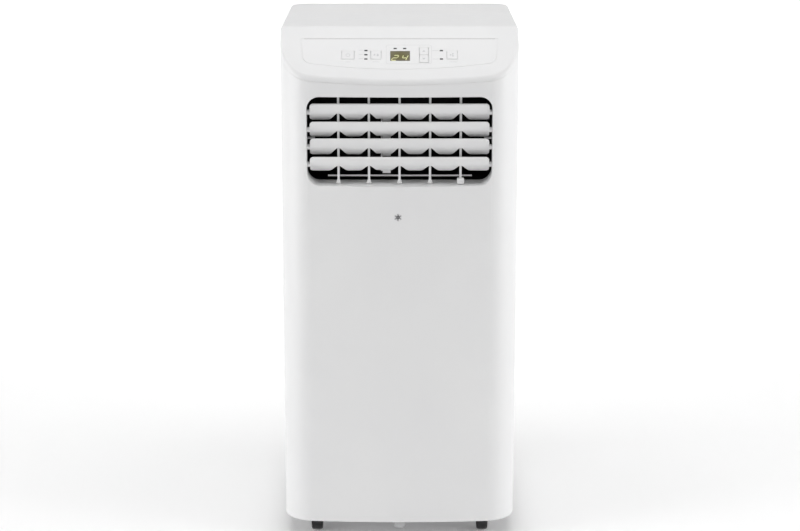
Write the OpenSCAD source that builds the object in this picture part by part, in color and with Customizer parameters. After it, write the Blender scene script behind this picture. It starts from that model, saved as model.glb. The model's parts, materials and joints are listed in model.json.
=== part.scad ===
// Portable air conditioner on casters.
// Frame: X to the right, -Y is the front, +Z up. Origin on the floor at the centre of the footprint.

/* [Body] */
// Width across the side walls
body_w = 315; // [310:1:320]
// Depth from the middle of the front bulge to the back
body_d = 365; // [360:1:370]
// Height of the top deck above the floor
body_h = 695; // [690:1:700]
// Height of the casing's lower edge above the floor
ground_gap = 24.7; // [22:0.1:26]
// Plan radius of the two front corners
corner_r = 45; // [40:1:48]
// Plan radius of the two rear corners
rear_r = 25; // [20:1:30]
// How far the middle of the front stands out
bulge = 5; // [3:0.5:7]
// Thickness of the casing walls
wall = 2.5; // [2:0.1:3]
// Gap at the seams between casing parts
seam = 0.4; // [0.2:0.1:0.6]
// Where the front panel ends and the rear panel starts, along Y
side_seam_y = -50; // [-60:1:-40]

/* [Slanted control face] */
// Height at which the slanted face would meet the front
slant_z = 631.5; // [628:0.5:634]
// Rise of the slanted face for each millimetre of depth
slant_rise = 0.92; // [0.88:0.01:0.96]
// Radius of the rounded edge round the slanted face
slant_round = 9; // [7:0.5:10]
// Radius of the deck's side and rear edges
deck_round = 3.5; // [2:0.5:4]
// Height of the seam under the top cover, at the front
seam_front_z = 626.7; // [624:0.1:628]
// Height of the seam under the top cover, at the sides and rear
seam_side_z = 672; // [668:1:676]

/* [Louver opening] */
// Half the width of the opening
mouth_x = 122; // [120:0.5:124]
// Lower edge of the opening at the front
mouth_low = 491.4; // [490:0.1:493]
// Upper edge of the opening
mouth_high = 610.1; // [609:0.1:611]
// Corner radius of the opening
mouth_r = 17; // [14:0.5:20]
// Depth of the collar behind the opening
mouth_depth = 34; // [32:1:36]
// How much the collar's floor rises towards its inner end
mouth_rise = 4; // [2:0.5:5]

/* [Louvers] */
// Height of the lowest louver's pivot
louver_low_z = 519.4; // [518:0.1:520]
// Distance between louver pivots
louver_pitch = 23.1; // [22.9:0.1:23.4]
// Depth of the louver pivots behind the front
louver_pivot_y = 15; // [14.5:0.1:15.5]
// Width of a blade from its upper to its lower edge
blade_chord = 24.6; // [24:0.2:25]
// Thickness of a blade
blade_t = 1.8; // [1.5:0.1:2]
// Radius of the curved blade
blade_curve_r = 36; // [34:1:60]
// Half the length of a blade
blade_x = 118; // [117:0.5:118.5]

/* [Vanes] */
// Distance between the upright vanes
vane_pitch = 40.3; // [40:0.1:40.6]
// Thickness of a vane
vane_t = 2; // [1.8:0.1:2.2]
// Depth of the vane pivots behind the front
vane_pivot_y = 16; // [15.8:0.1:16.2]

/* [Casters] */
// Sideways distance of the casters from the middle
caster_x = 114; // [110:1:118]
// Swivel axis of the front casters, along Y
caster_front_y = -128; // [-132:1:-124]
// Swivel axis of the rear casters, along Y
caster_rear_y = 138; // [132:1:140]
// Radius of a caster wheel
wheel_r = 16; // [15:0.5:16.5]
// Width of a caster wheel
wheel_w = 15.5; // [14:0.5:16]
// Distance of the wheel's axle from the swivel axis
caster_trail = 10; // [8:0.5:11]

/* [Rear] */
// Inside radius of the exhaust collar
exhaust_r = 65; // [60:1:66]
// Height of the exhaust collar's axis
exhaust_z = 300; // [298:1:302]
// Half the width of the filter cover's opening
filter_x = 120; // [118:1:121]
// Lower edge of the filter cover's opening
filter_low = 403; // [400:1:406]
// Upper edge of the filter cover's opening
filter_high = 637; // [630:1:640]

/* [Hidden] */
$fn = 48;

// Running clearance of pegs and pins, on the radius
fit_gap = 0.06;
// Clearance of the link bars' free pins
loose_gap = 0.2;
// Colours
white = [0.90, 0.90, 0.90];
grey = [0.62, 0.62, 0.63];
black = [0.07, 0.07, 0.08];
copper = [0.72, 0.42, 0.26];
metal = [0.70, 0.71, 0.72];

front_y = -body_d / 2;
rear_y = body_d / 2;
side_x = body_w / 2;
slant_angle = atan(slant_rise);

// The front bulge is a wide arc, and each front corner's arc meets it without a kink.
corner_x = side_x - corner_r;
bulge_r = (corner_x * corner_x + bulge * bulge) / (2 * bulge);
bulge_y = front_y + bulge_r;
corner_y = bulge_y - sqrt(pow(bulge_r - corner_r, 2) - corner_x * corner_x);
corner_start = atan2(corner_y - bulge_y, corner_x);

function arc(x, y, r, from, to, steps) =
    [for (i = [0 : steps]) let (a = from + (to - from) * i / steps) [x + r * cos(a), y + r * sin(a)]];

// Plan outline of the body, moved outwards by grow.
function plan_points(grow) = concat(
    arc(corner_x, corner_y, corner_r + grow, corner_start, 0, 16),
    arc(side_x - rear_r, rear_y - rear_r, rear_r + grow, 0, 90, 10),
    arc(rear_r - side_x, rear_y - rear_r, rear_r + grow, 90, 180, 10),
    arc(-corner_x, corner_y, corner_r + grow, 180, 180 - corner_start, 16),
    [for (i = [1 : 11]) let (a = -180 - corner_start + (2 * corner_start + 180) * i / 12)
        [(bulge_r + grow) * cos(a), bulge_y + (bulge_r + grow) * sin(a)]]
);

function rounded_points(w, h, r) = concat(
    arc(w / 2 - r, h / 2 - r, r, 0, 90, 10),
    arc(r - w / 2, h / 2 - r, r, 90, 180, 10),
    arc(r - w / 2, r - h / 2, r, 180, 270, 10),
    arc(w / 2 - r, r - h / 2, r, 270, 360, 10)
);

// Height of the slanted face's plane at depth y.
function slant_at(y) = slant_z + slant_rise * (y - front_y);

// A box given by its lowest and highest corners.
module box(low, high) translate(low) cube(high - low);

// A cylinder along X, from x0 to x1.
module rod_x(x0, x1, y, z, r) translate([x0, y, z]) rotate([0, 90, 0]) cylinder(h = x1 - x0, r = r);

// A cylinder along Y, from y0 to y1.
module rod_y(x, y0, y1, z, r) translate([x, y0, z]) rotate([-90, 0, 0]) cylinder(h = y1 - y0, r = r);

// An outline in Y and Z, carried across X.
module side_profile(points, w = 400) rotate([90, 0, 90]) linear_extrude(w, center = true) polygon(points);

// An outline in X and Z, carried along Y from y0 to y1.
module front_profile(y0, y1) translate([0, y1, 0]) rotate([90, 0, 0]) linear_extrude(y1 - y0) children();

module plan_solid(grow, z0, z1) translate([0, 0, z0]) linear_extrude(z1 - z0) polygon(plan_points(grow));

module below_slant(offset_z) side_profile([
    [-250, 500], [250, 500], [250, slant_at(250) + offset_z], [-250, slant_at(-250) + offset_z]
]);

// The upper end of the body, with its rounded edges, moved inwards by inset.
module crown(inset, edge_r, top_r) intersection() {
    hull() for (a = [0, 16, 32, 90 - slant_angle, 62, 76, 90]) intersection() {
        plan_solid(-inset - edge_r * (1 - cos(a)), 600, 740);
        below_slant((edge_r * (sin(slant_angle + a) - 1) - inset) / cos(slant_angle));
    }
    hull() for (a = [0, 30, 60, 90])
        plan_solid(-inset - top_r * (1 - cos(a)), 600, body_h - inset - top_r * (1 - sin(a)));
}

// Everything above the seam under the top cover. The seam runs up beside the slanted face.
seam_slope = 0.8;
function seam_at(y) = min(seam_side_z, seam_front_z + seam_slope * (y - front_y));
seam_bend_y = front_y + (seam_side_z - seam_front_z) / seam_slope;
module above_seam() side_profile([
    [-250, seam_at(-250)], [seam_bend_y, seam_side_z], [250, seam_side_z], [250, 760], [-250, 760]
]);
module below_seam() side_profile([
    [-250, 0], [250, 0], [250, seam_side_z - seam],
    [seam_bend_y, seam_side_z - seam], [-250, seam_at(-250) - seam]
]);

// The vertical casing wall all round, before it is split.
module casing_wall() intersection() {
    difference() {
        plan_solid(0, ground_gap, seam_side_z);
        plan_solid(-wall, ground_gap - 1, seam_side_z + 1);
    }
    below_seam();
}

/* Front panel */

mouth_mid_z = (mouth_low + mouth_high) / 2;
mouth_h = mouth_high - mouth_low;
vane_x = [for (i = [0 : 4]) (i - 2) * vane_pitch];
louver_z = [for (i = [0 : 3]) louver_low_z + (3 - i) * louver_pitch];
peg_r = 2;
pin_r = 1.5;
ledge_z = 552.5;

// The air passage through the front, with a floor that rises inwards.
module mouth_void() hull() {
    front_profile(front_y - 1, front_y)
        translate([0, mouth_mid_z]) polygon(rounded_points(2 * mouth_x, mouth_h, mouth_r));
    front_profile(front_y + mouth_depth, front_y + mouth_depth + 1)
        translate([0, mouth_mid_z + mouth_rise / 2])
            polygon(rounded_points(2 * mouth_x, mouth_h - mouth_rise, mouth_r));
}

module front_panel() color(white) difference() {
    union() {
        intersection() {
            casing_wall();
            box([-200, -250, 0], [200, side_seam_y - seam / 2, 700]);
        }
        intersection() {
            plan_solid(0, 400, 650);
            front_profile(front_y - 1, front_y + mouth_depth)
                translate([0, mouth_mid_z])
                    polygon(rounded_points(2 * (mouth_x + wall), mouth_h + 2 * wall, mouth_r + wall));
        }
    }
    difference() {
        mouth_void();
        // Two short ledges on the side walls keep fingers from the lower louvers' linkage.
        for (side = [-1, 1])
            translate([side * (mouth_x - 5), 0, 0])
                box([-5, front_y + 24, ledge_z - 1], [5, front_y + mouth_depth, ledge_z + 1]);
    }
    for (z = louver_z)
        rod_x(-mouth_x - wall - 1, mouth_x + wall + 1, front_y + louver_pivot_y, z, peg_r + fit_gap);
    for (x = vane_x)
        translate([x, front_y + vane_pivot_y, mouth_low - wall - 1])
            cylinder(h = mouth_h + 2 * wall + 2, r = pin_r + fit_gap);
}

/* Rear panel */

handle_y = [30, 125];
handle_z = [560, 592];
handle_depth = 24;
screw_x = 127;
screw_z = [45, 388, 655];
gland_x = 108;
gland_z = 250;
drain_x = -70;
drain_z = 46;
drain_r = 7;
grille_x = 112;
grille_low = 72;
grille_high = 212;
hinge_y = rear_y - 3;
hinge_z = filter_low + 3.8;

module rear_panel() color(white) difference() {
    union() {
        intersection() {
            casing_wall();
            box([-200, side_seam_y + seam / 2, 0], [200, 250, 700]);
        }
        for (x = [-screw_x, screw_x], z = screw_z) rod_y(x, rear_y - 11, rear_y - 1, z, 5.5);
        // Seat ring behind the exhaust collar.
        rod_y(0, rear_y - 6, rear_y - 1, exhaust_z, exhaust_r + 9);
        // Blocks that hold the filter cover's hinge pegs.
        for (x = [-filter_x - 4, filter_x])
            box([x, rear_y - 7, filter_low - 2], [x + 4, rear_y - 1, filter_low + 9]);
    }
    box([-filter_x, rear_y - 20, filter_low], [filter_x, rear_y + 5, filter_high]);
    box([-grille_x, rear_y - 20, grille_low], [grille_x, rear_y + 5, grille_high]);
    rod_y(0, rear_y - 20, rear_y + 5, exhaust_z, exhaust_r + 5.2);
    rod_y(drain_x, rear_y - 20, rear_y + 5, drain_z, 10.3);
    rod_y(gland_x, rear_y - 20, rear_y + 5, gland_z, 8.2);
    rod_y(gland_x, rear_y - 1.4, rear_y + 5, gland_z, 11.3);
    rod_x(-filter_x - 3, filter_x + 3, hinge_y, hinge_z, pin_r + fit_gap);
    for (x = [-screw_x, screw_x], z = screw_z) {
        rod_y(x, rear_y - 2.4, rear_y + 1, z, 4);
        rod_y(x, rear_y - 12, rear_y + 1, z, 2);
    }
    for (side = [-1, 1])
        box([side * side_x - 5, handle_y[0], handle_z[0]], [side * side_x + 5, handle_y[1], handle_z[1]]);
}

module handle_cup() difference() {
    union() {
        box([side_x - handle_depth, handle_y[0] + 0.2, handle_z[0] + 0.2],
            [side_x - 0.1, handle_y[1] - 0.2, handle_z[1] - 0.2]);
        box([side_x - wall - 2, handle_y[0] - 4, handle_z[0] - 4],
            [side_x - wall - 0.1, handle_y[1] + 4, handle_z[1] + 4]);
    }
    box([side_x - handle_depth + 2, handle_y[0] + 2.2, handle_z[0] + 2.2],
        [side_x + 1, handle_y[1] - 2.2, handle_z[1] - 2.2]);
}

module handle_cups() color(white) {
    handle_cup();
    mirror([1, 0, 0]) handle_cup();
}

module casing_screws() color(metal) for (x = [-screw_x, screw_x], z = screw_z) difference() {
    union() {
        rod_y(x, rear_y - 2.3, rear_y - 0.3, z, 3.7);
        rod_y(x, rear_y - 18, rear_y - 2, z, 1.9);
    }
    for (a = [0, 90])
        translate([x, rear_y - 0.3, z]) rotate([0, a, 0]) cube([4.6, 1.8, 0.9], center = true);
}

/* Base pan and the cap below it */

pan_floor = ground_gap + 2.3;
well_r = wheel_r + caster_trail + 2.5;
well_top = 40;
boss_top = 62;
stem_r = 4;
caster_axes = [
    [-caster_x, caster_front_y], [caster_x, caster_front_y],
    [-caster_x, caster_rear_y], [caster_x, caster_rear_y]
];
compressor_xy = [70, -72];
compressor_foot_r = 62;

module base_pan() color(grey) difference() {
    union() {
        difference() {
            plan_solid(-wall - 0.1, pan_floor, 64);
            plan_solid(-2 * wall - 0.1, pan_floor + 3, 65);
        }
        for (c = caster_axes) translate([c[0], c[1], pan_floor]) {
            cylinder(h = well_top + 3 - pan_floor, r = well_r + 3);
            cylinder(h = boss_top - pan_floor, r = stem_r + 4);
        }
        // Studs that carry the compressor's rubber grommets.
        for (a = [30, 150, 270])
            translate([compressor_xy[0], compressor_xy[1], pan_floor])
                rotate([0, 0, a]) translate([compressor_foot_r, 0, 0]) cylinder(h = 26, r = 3);
        // Spout of the drain, behind its hole in the rear panel.
        rod_y(drain_x, rear_y - 26, rear_y - wall - 0.2, drain_z, 12.5);
    }
    for (c = caster_axes) translate([c[0], c[1], ground_gap - 1]) {
        cylinder(h = well_top - ground_gap + 1, r = well_r);
        cylinder(h = boss_top - 3 - ground_gap + 1, r = stem_r + fit_gap);
    }
    rod_y(drain_x, rear_y - 30, rear_y - 5, drain_z, drain_r + fit_gap);
    rod_y(drain_x, rear_y - 7, rear_y, drain_z, 10.3);
    // Room for the rear panel's lowest screw bosses.
    for (x = [-screw_x, screw_x]) rod_y(x, rear_y - 12, rear_y, screw_z[0], 6);
}

cap_y = front_y + 20;

module front_fixing_cap() color([0.8, 0.8, 0.8]) translate([0, cap_y, 0]) rotate_extrude()
    polygon([[0, 11], [4, 11], [6.4, 12.2], [8.1, 14.6], [8.6, 17.5], [8.6, pan_floor], [0, pan_floor]]);

/* Top cover and controls */

overlay_depth = 0.8;
overlay_top_v = 72.5;
overlay_low_v = 20.5;
overlay_arc_r = 690;
overlay_corner = [115, 42.2];
display_low = [-12.2, 34.6];
display_high = [13.6, 51.3];
led_size = [4.1, 2];
led_places = [[-44.2, 52.2], [-44.2, 45], [-44.2, 37.7], [-5.8, 55.6], [6.7, 55.6], [55, 52], [55, 37.7]];
key_power_box = [[-75.7, 37.7], [-59.8, 51.3]];
key_mode_box = [[-37.6, 37.7], [-24.4, 51.3]];
key_up_box = [[26.2, 44.8], [37.8, 57.3]];
key_down_box = [[26.2, 31.7], [37.8, 44.2]];
key_fan_box = [[62.3, 37.7], [75.9, 51.3]];
key_boxes = [key_power_box, key_mode_box, key_up_box, key_down_box, key_fan_box];
key_gap = 0.3;

// Places its children on the slanted face: x across, y up the slope, z straight out of it.
module on_slant() translate([0, front_y, slant_z]) rotate([slant_angle, 0, 0]) children();

// A box on the slanted face, grown sideways by grow, between two depths.
module slant_box(corners, grow, w0, w1) on_slant()
    box([corners[0][0] - grow, corners[0][1] - grow, w0], [corners[1][0] + grow, corners[1][1] + grow, w1]);

module overlay_outline(grow) hull() {
    for (side = [-1, 1]) {
        translate([side * overlay_corner[0], overlay_corner[1]]) circle(r = 12 + grow);
        translate([side * (129 + grow), overlay_top_v - 1 + grow]) circle(r = 1);
    }
    polygon(arc(0, overlay_low_v + overlay_arc_r, overlay_arc_r + grow, 261, 279, 16));
}

module led_bars(grow, w0, w1) for (p = led_places)
    slant_box([p - led_size / 2, p + led_size / 2], grow, w0, w1);

module control_cutouts(grow) {
    slant_box([display_low, display_high], grow, -8, 5);
    led_bars(grow, -8, 5);
    for (k = key_boxes) slant_box(k, grow + key_gap, -8, 5);
}

module top_cover() color(white) difference() {
    intersection() {
        crown(0, slant_round, deck_round);
        above_seam();
    }
    crown(wall, slant_round - wall, 1);
    on_slant() translate([0, 0, -overlay_depth]) linear_extrude(5) overlay_outline(0.3);
    control_cutouts(0.1);
}

module control_overlay() color([0.92, 0.92, 0.92]) difference() {
    on_slant() translate([0, 0, 0.02 - overlay_depth])
        linear_extrude(overlay_depth - 0.02) overlay_outline(0);
    control_cutouts(0.1);
}

module display_window() color([0.40, 0.38, 0.18]) slant_box([display_low, display_high], 0, -2.6, 0.05);

module led_indicators() color([0.25, 0.25, 0.26]) led_bars(0, -6.5, 0.05);

// A key cap with the flange that keeps it behind the cover, and the plunger over its switch.
module key_cap(corners) {
    middle = (corners[0] + corners[1]) / 2;
    slant_box(corners, 0, -4, 0.35);
    slant_box([corners[0] - [1.3, 0], corners[1] + [1.3, 0]], 0, -4, -wall - 0.35);
    on_slant() translate([middle[0], middle[1], -5.2]) cylinder(h = 2, r = 2);
}

module key_power() color(white) key_cap(key_power_box);
module key_mode() color(white) key_cap(key_mode_box);
module key_temp_up() color(white) key_cap(key_up_box);
module key_temp_down() color(white) key_cap(key_down_box);
module key_fan() color(white) key_cap(key_fan_box);

module control_board() color([0.12, 0.35, 0.18]) {
    slant_box([[-100, 24], [100, 64]], 0, -11, -9.4);
    slant_box([display_low, display_high], 1.5, -9.5, -2.8);
    for (k = key_boxes) let (middle = (k[0] + k[1]) / 2)
        slant_box([middle - [3, 3], middle + [3, 3]], 0, -9.5, -6.8);
}

/* Louvers and their link */

blade_tilt = [30, 36, 30, 40];
blade_front = 3.3;
notch_half = 13.3;
notch_height = 12;
// How far the middle of a blade sits above its pivot, along the blade
blade_lift = 1;
crank_s = 13.5;
crank_n = 4;
crank_tilt = 33;
link_x = [-24.6, -22.6];
lobe_x = [-22.3, -11.8];
crank_pin_r = 1.1;

// Outline of a blade: x along it, y up it. Each vane passes through a bell-shaped notch in the lower edge.
bell_steps = 12;
module blade_outline() translate([0, blade_lift]) difference() {
    union() {
        polygon(rounded_points(2 * blade_x, blade_chord, 4.5));
        translate([(lobe_x[0] + lobe_x[1]) / 2, -blade_chord / 2 - 1])
            polygon(rounded_points(lobe_x[1] - lobe_x[0], 7, 2.6));
    }
    for (x = vane_x) translate([x, -blade_chord / 2]) polygon(concat(
        [[-notch_half, -5]],
        [for (i = [0 : bell_steps]) let (t = 2 * i / bell_steps - 1)
            [notch_half * t, notch_height * (1 + cos(180 * t)) / 2 - 0.01]],
        [[notch_half, -5]]
    ));
    // Relief beside the link bar.
    box2([-33, -blade_chord / 2 - 1], [lobe_x[0], 1.8 - blade_chord / 2]);
}

module box2(low, high) translate(low) square(high - low);

// One louver about its pivot axis, at the pivot's height z.
module louver(i) color(white) translate([0, front_y + louver_pivot_y, louver_z[i]]) {
    rotate([blade_tilt[i], 0, 0]) {
        // The curved blade stands in front of the pivot axis, its hollow side towards the rear.
        intersection() {
            translate([0, 1, 0]) front_profile(-10, 3) blade_outline();
            translate([0, blade_curve_r - blade_front, 0]) rotate([0, 90, 0]) difference() {
                cylinder(h = 300, r = blade_curve_r, center = true, $fn = 96);
                cylinder(h = 310, r = blade_curve_r - blade_t, center = true, $fn = 96);
            }
        }
    }
    // Collar and peg at each end.
    for (side = [0, 1]) mirror([side, 0, 0]) {
        rod_x(blade_x - 3, mouth_x - 0.2, 0, 0, 3.4);
        rod_x(mouth_x - 1, mouth_x + wall - 0.5, 0, 0, peg_r);
    }
    // The lobe's crank carries the pin of the link bar.
    rotate([crank_tilt, 0, 0]) translate([0, crank_n, -crank_s]) {
        rod_x(link_x[0] - 0.4, lobe_x[0] + 1, 0, 0, crank_pin_r);
        rod_x(lobe_x[0], lobe_x[1], 0, 0, 2.2);
        box([lobe_x[0], -crank_n - 0.6, -2.2], [lobe_x[1], 0, 2.2]);
    }
}

module louver_1() louver(0);
module louver_2() louver(1);
module louver_3() louver(2);
module louver_4() louver(3);

module louver_link() color(white) difference() {
    crank_y = front_y + louver_pivot_y + crank_s * sin(crank_tilt) + crank_n * cos(crank_tilt);
    crank_drop = crank_s * cos(crank_tilt) - crank_n * sin(crank_tilt);
    union() {
        box([link_x[0], crank_y - 1.1, louver_z[3] - crank_drop],
            [link_x[1], crank_y + 1.1, louver_z[0] - crank_drop]);
        for (z = louver_z) rod_x(link_x[0], link_x[1], crank_y, z - crank_drop, 2.1);
    }
    // The bar turns on the first louver's pin, and the other pins have more room.
    for (i = [0 : 3])
        rod_x(link_x[0] - 1, link_x[1] + 1, crank_y, louver_z[i] - crank_drop,
            crank_pin_r + (i == 0 ? fit_gap : loose_gap));
}

/* Vanes and their link */

vane_front = 14.5;
vane_back = 44;
vane_low = 498;
vane_high = mouth_high - 3.5;
vane_link_y = front_y + 28;
vane_link_z = 502;
foot_low = 493.8;
link_pin_r = 0.8;
link_eye_r = 1.9;

module vane(i) color(white) {
    difference() {
        vane_blade(i);
        translate([vane_x[i], vane_link_y, vane_link_z]) cube([10, 2 * link_eye_r + 0.8, 2.9], center = true);
    }
    // Pin across the window, which the link bar's eye turns on.
    translate([vane_x[i], vane_link_y, vane_link_z - 2]) cylinder(h = 4, r = link_pin_r);
}

module vane_blade(i) {
    translate([vane_x[i], front_y, 0]) {
        box([-vane_t / 2, vane_front, vane_low], [vane_t / 2, vane_back, vane_high]);
        translate([0, vane_pivot_y, 0]) {
            translate([0, 0, mouth_low - wall + 0.5]) cylinder(h = mouth_h + 2 * wall - 1, r = pin_r);
            translate([0, 0, foot_low]) cylinder(h = 1.4, r = 3.6);
            translate([0, 0, foot_low + 1.4]) cylinder(h = 1.8, r = 2.6);
            translate([0, 0, foot_low + 3.2]) cylinder(h = 3, r1 = 2.6, r2 = 1.4);
        }
        // Finger tab of the vane that leads the others.
        if (i == 4) translate([0, 0, 497.4]) front_profile(9.4, 18.5) polygon(rounded_points(9.2, 7.2, 1.6));
    }
}

module vane_1() vane(0);
module vane_2() vane(1);
module vane_3() vane(2);
module vane_4() vane(3);
module vane_5() vane(4);

module vane_link() color(white) difference() {
    union() {
        box([-95, vane_link_y - 1, vane_link_z - 1], [96, vane_link_y + 1, vane_link_z + 1]);
        for (x = vane_x)
            translate([x, vane_link_y, vane_link_z - 1]) cylinder(h = 2, r = link_eye_r);
    }
    // The bar turns on the pin of the leading vane, and the other pins have more room.
    for (i = [0 : 4])
        translate([vane_x[i], vane_link_y, vane_link_z - 2])
            cylinder(h = 4, r = link_pin_r + (i == 4 ? fit_gap : loose_gap));
}

/* Cold section: duct, blower, evaporator */

duct_front = front_y + mouth_depth + 0.4;
duct_back = 30;
duct_low = mouth_low - wall;
duct_high = mouth_high + wall;
blower_z = 395;
blower_r = 76;
blower_y = [-42, 24];

module air_duct() color(black) difference() {
    box([-mouth_x - wall, duct_front, duct_low], [mouth_x + wall, duct_back, duct_high]);
    box([-mouth_x, duct_front - 1, duct_low + mouth_rise + wall], [mouth_x, duct_back - 2, duct_high - 2]);
    box([-104, blower_y[0], duct_low - 1], [-4, blower_y[1], duct_low + 20]);
}

// Spiral wall of a blower: starts at r0 and widens by grow over its turn, then leaves straight upwards.
function spiral(r0, grow, inset) = [for (i = [0 : 36])
    let (a = 180 - 10 * i, r = r0 + grow * i / 36 - inset) [r * cos(a), r * sin(a)]];

module scroll(x, z, y0, y1, r0, grow, top, inlet_r) translate([x, 0, z]) difference() {
    front_profile(y0, y1) union() {
        polygon(spiral(r0, grow, 0));
        box2([-r0 - grow, 0], [-grow / 2, top - z]);
    }
    front_profile(y0 + 2, y1 - 2) union() {
        polygon(spiral(r0, grow, 2));
        box2([-r0 - grow + 2, 0], [-grow / 2 - 2, top - z + 1]);
    }
    rod_y(0, y1 - 3, y1 + 1, 0, inlet_r);
    rod_y(0, y0 - 1, y0 + 3, 0, 9);
}

module fan_wheel(x, z, y0, y1, r, blades) {
    difference() {
        union() {
            rod_y(x, y0, y0 + 2, z, r);
            rod_y(x, y0 - 1, y0 + 16, z, 12);
            difference() {
                rod_y(x, y1 - 3, y1, z, r);
                rod_y(x, y1 - 4, y1 + 1, z, r - 15);
            }
        }
        rod_y(x, y0 - 3, y0 + 18, z, 4);
    }
    for (i = [0 : blades - 1])
        translate([x, 0, z]) rotate([0, 360 * i / blades, 0])
            translate([r - 8, (y0 + y1) / 2, 0]) rotate([0, 28, 0])
                cube([14, y1 - y0 - 1, 1.2], center = true);
    // The shaft turns with the wheel and runs in the motor.
    rod_y(x, y0 - 40, y0 + 17, z, 4.01);
}

module motor(x, z, y0, y1, r) difference() {
    union() {
        rod_y(x, y0, y1, z, r);
        rod_y(x, y1 - 1, y1 + 5, z, 14);
        for (a = [45, 135, 225, 315])
            translate([x, 0, z]) rotate([0, a, 0]) translate([r + 4, y1 - 3, 0])
                cube([16, 4, 10], center = true);
    }
    rod_y(x, y1 - 34, y1 + 6, z, 4.01 + fit_gap);
    rod_y(x, y0 - 1, y0 + 6, z, r * 0.55);
}

module blower_scroll() color(black)
    scroll(0, blower_z, blower_y[0], blower_y[1], 82, 22, duct_low - 0.3, 60);
module blower_wheel() color(grey) fan_wheel(0, blower_z, blower_y[0] + 6, blower_y[1] - 5, blower_r, 30);
module blower_motor() color(metal) motor(0, blower_z, blower_y[0] - 62, blower_y[0] - 6, 42);

// A finned coil block with the bends of its tubes at both ends.
module coil(low, high, rows) {
    box([low[0] + 10, low[1], low[2]], [high[0] - 10, high[1], high[2]]);
    for (end = [0, 1], row = [0 : rows - 1]) let (
        pitch = (high[2] - low[2]) / rows,
        z = low[2] + pitch * (row + 0.5),
        x = end == 0 ? low[0] + 10 : high[0] - 10,
        y = (low[1] + high[1]) / 2
    ) translate([x, y, z]) rotate([90, 0, end == 0 ? 180 : 0]) rotate([0, 0, -90])
        rotate_extrude(angle = 180) translate([pitch / 4, 0]) circle(r = 3);
}

evap_low = [-134, 92, 402];
evap_high = [134, 132, 640];
module evaporator() color(metal) coil(evap_low, evap_high, 10);

tray_z = 388;
wall_y = 40;
shelf_z = 283;
module partition_tray() color(white) difference() {
    union() {
        intersection() {
            plan_solid(-wall - 0.4, shelf_z, shelf_z + 3);
            box([-200, -170, 0], [200, wall_y, 900]);
        }
        box([-150, wall_y - 3, shelf_z], [150, wall_y, tray_z]);
        box([-150, wall_y - 3, tray_z - 3], [150, 150, tray_z]);
        box([-150, 147, tray_z - 3], [150, 150, tray_z + 10]);
    }
    rod_y(121.5, wall_y - 5, wall_y + 2, 354, 8);
    translate([118, 20, shelf_z - 5]) cylinder(h = 20, r = 8);
    translate([135, 110, tray_z - 10]) cylinder(h = 20, r = 8);
    translate([-135, 110, tray_z - 10]) cylinder(h = 20, r = 8);
}

/* Hot section: condenser, its fan, exhaust, compressor */

hot_x = -38;
hot_z = 152;
hot_y = [38, 98];
cond_low = [-134, 112, 68];
cond_high = [134, 142, 216];
module condenser() color(metal) coil(cond_low, cond_high, 7);
module condenser_scroll() color(black) scroll(hot_x, hot_z, hot_y[0], hot_y[1], 64, 18, 236, 46);
module condenser_wheel() color(grey) fan_wheel(hot_x, hot_z, hot_y[0] + 6, hot_y[1] - 5, 58, 24);
module condenser_motor() color(metal) motor(hot_x, hot_z, hot_y[0] - 58, hot_y[0] - 6, 36);

collar_front = rear_y - 14;
module exhaust_duct() color(black) difference() {
    box([-124, hot_y[0] + 5, 236.5], [78, collar_front - 0.5, 376]);
    box([-122, hot_y[0] + 7, 238.5], [76, collar_front - 2.5, 374]);
    box([hot_x - 80, hot_y[0] + 7, 230], [hot_x - 11, hot_y[1] - 2, 240]);
    // The duct's mouth is a little narrower than the collar, so that the hose end stops against it.
    rod_y(0, collar_front - 10, collar_front + 5, exhaust_z, exhaust_r - 5);
}

module exhaust_collar() color(white) difference() {
    union() {
        rod_y(0, collar_front, rear_y - 0.1, exhaust_z, exhaust_r + 5);
        rod_y(0, collar_front, rear_y - 6.3, exhaust_z, exhaust_r + 9);
    }
    rod_y(0, collar_front - 5, rear_y + 5, exhaust_z, exhaust_r);
    // Bayonet slots for the hose end.
    for (a = [0, 120, 240])
        translate([0, rear_y, exhaust_z]) rotate([0, a, 0]) translate([exhaust_r + 1, 0, 0])
            cube([6, 12, 14], center = true);
}

module compressor() color([0.13, 0.13, 0.14]) {
    translate([compressor_xy[0], compressor_xy[1], 0]) {
        translate([0, 0, 60]) rotate_extrude() polygon(concat(
            [[0, 0]], arc(36, 16, 16, -90, 0, 6), arc(30, 128, 22, 0, 90, 8), [[0, 150]]
        ));
        translate([0, 0, 56]) cylinder(h = 5, r = 34);
        for (a = [30, 150, 270]) rotate([0, 0, a]) difference() {
            box([20, -14, 55.5], [compressor_foot_r + 10, 14, 59]);
            translate([compressor_foot_r, 0, 50]) cylinder(h = 20, r = 5);
        }
        translate([0, 0, 209]) cylinder(h = 12, r = 14);
    }
}

module compressor_grommets() color(black) for (a = [30, 150, 270])
    translate([compressor_xy[0], compressor_xy[1], pan_floor + 3.2]) rotate([0, 0, a])
        translate([compressor_foot_r, 0, 0]) difference() {
            union() {
                cylinder(h = 55.3 - pan_floor - 3.2, r = 9);
                cylinder(h = 30, r = 4.8);
            }
            translate([0, 0, -1]) cylinder(h = 40, r = 3.1);
        }

// A pipe along straight runs, with a brazed elbow at each corner.
module pipe(points, r) for (i = [0 : len(points) - 2]) let (
    run = points[i + 1] - points[i],
    length = norm(run)
) {
    translate(points[i]) rotate([0, acos(run[2] / length), atan2(run[1], run[0])])
        cylinder(h = length, r = r);
    if (i > 0) translate(points[i]) sphere(r = r * 1.25);
}

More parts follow.
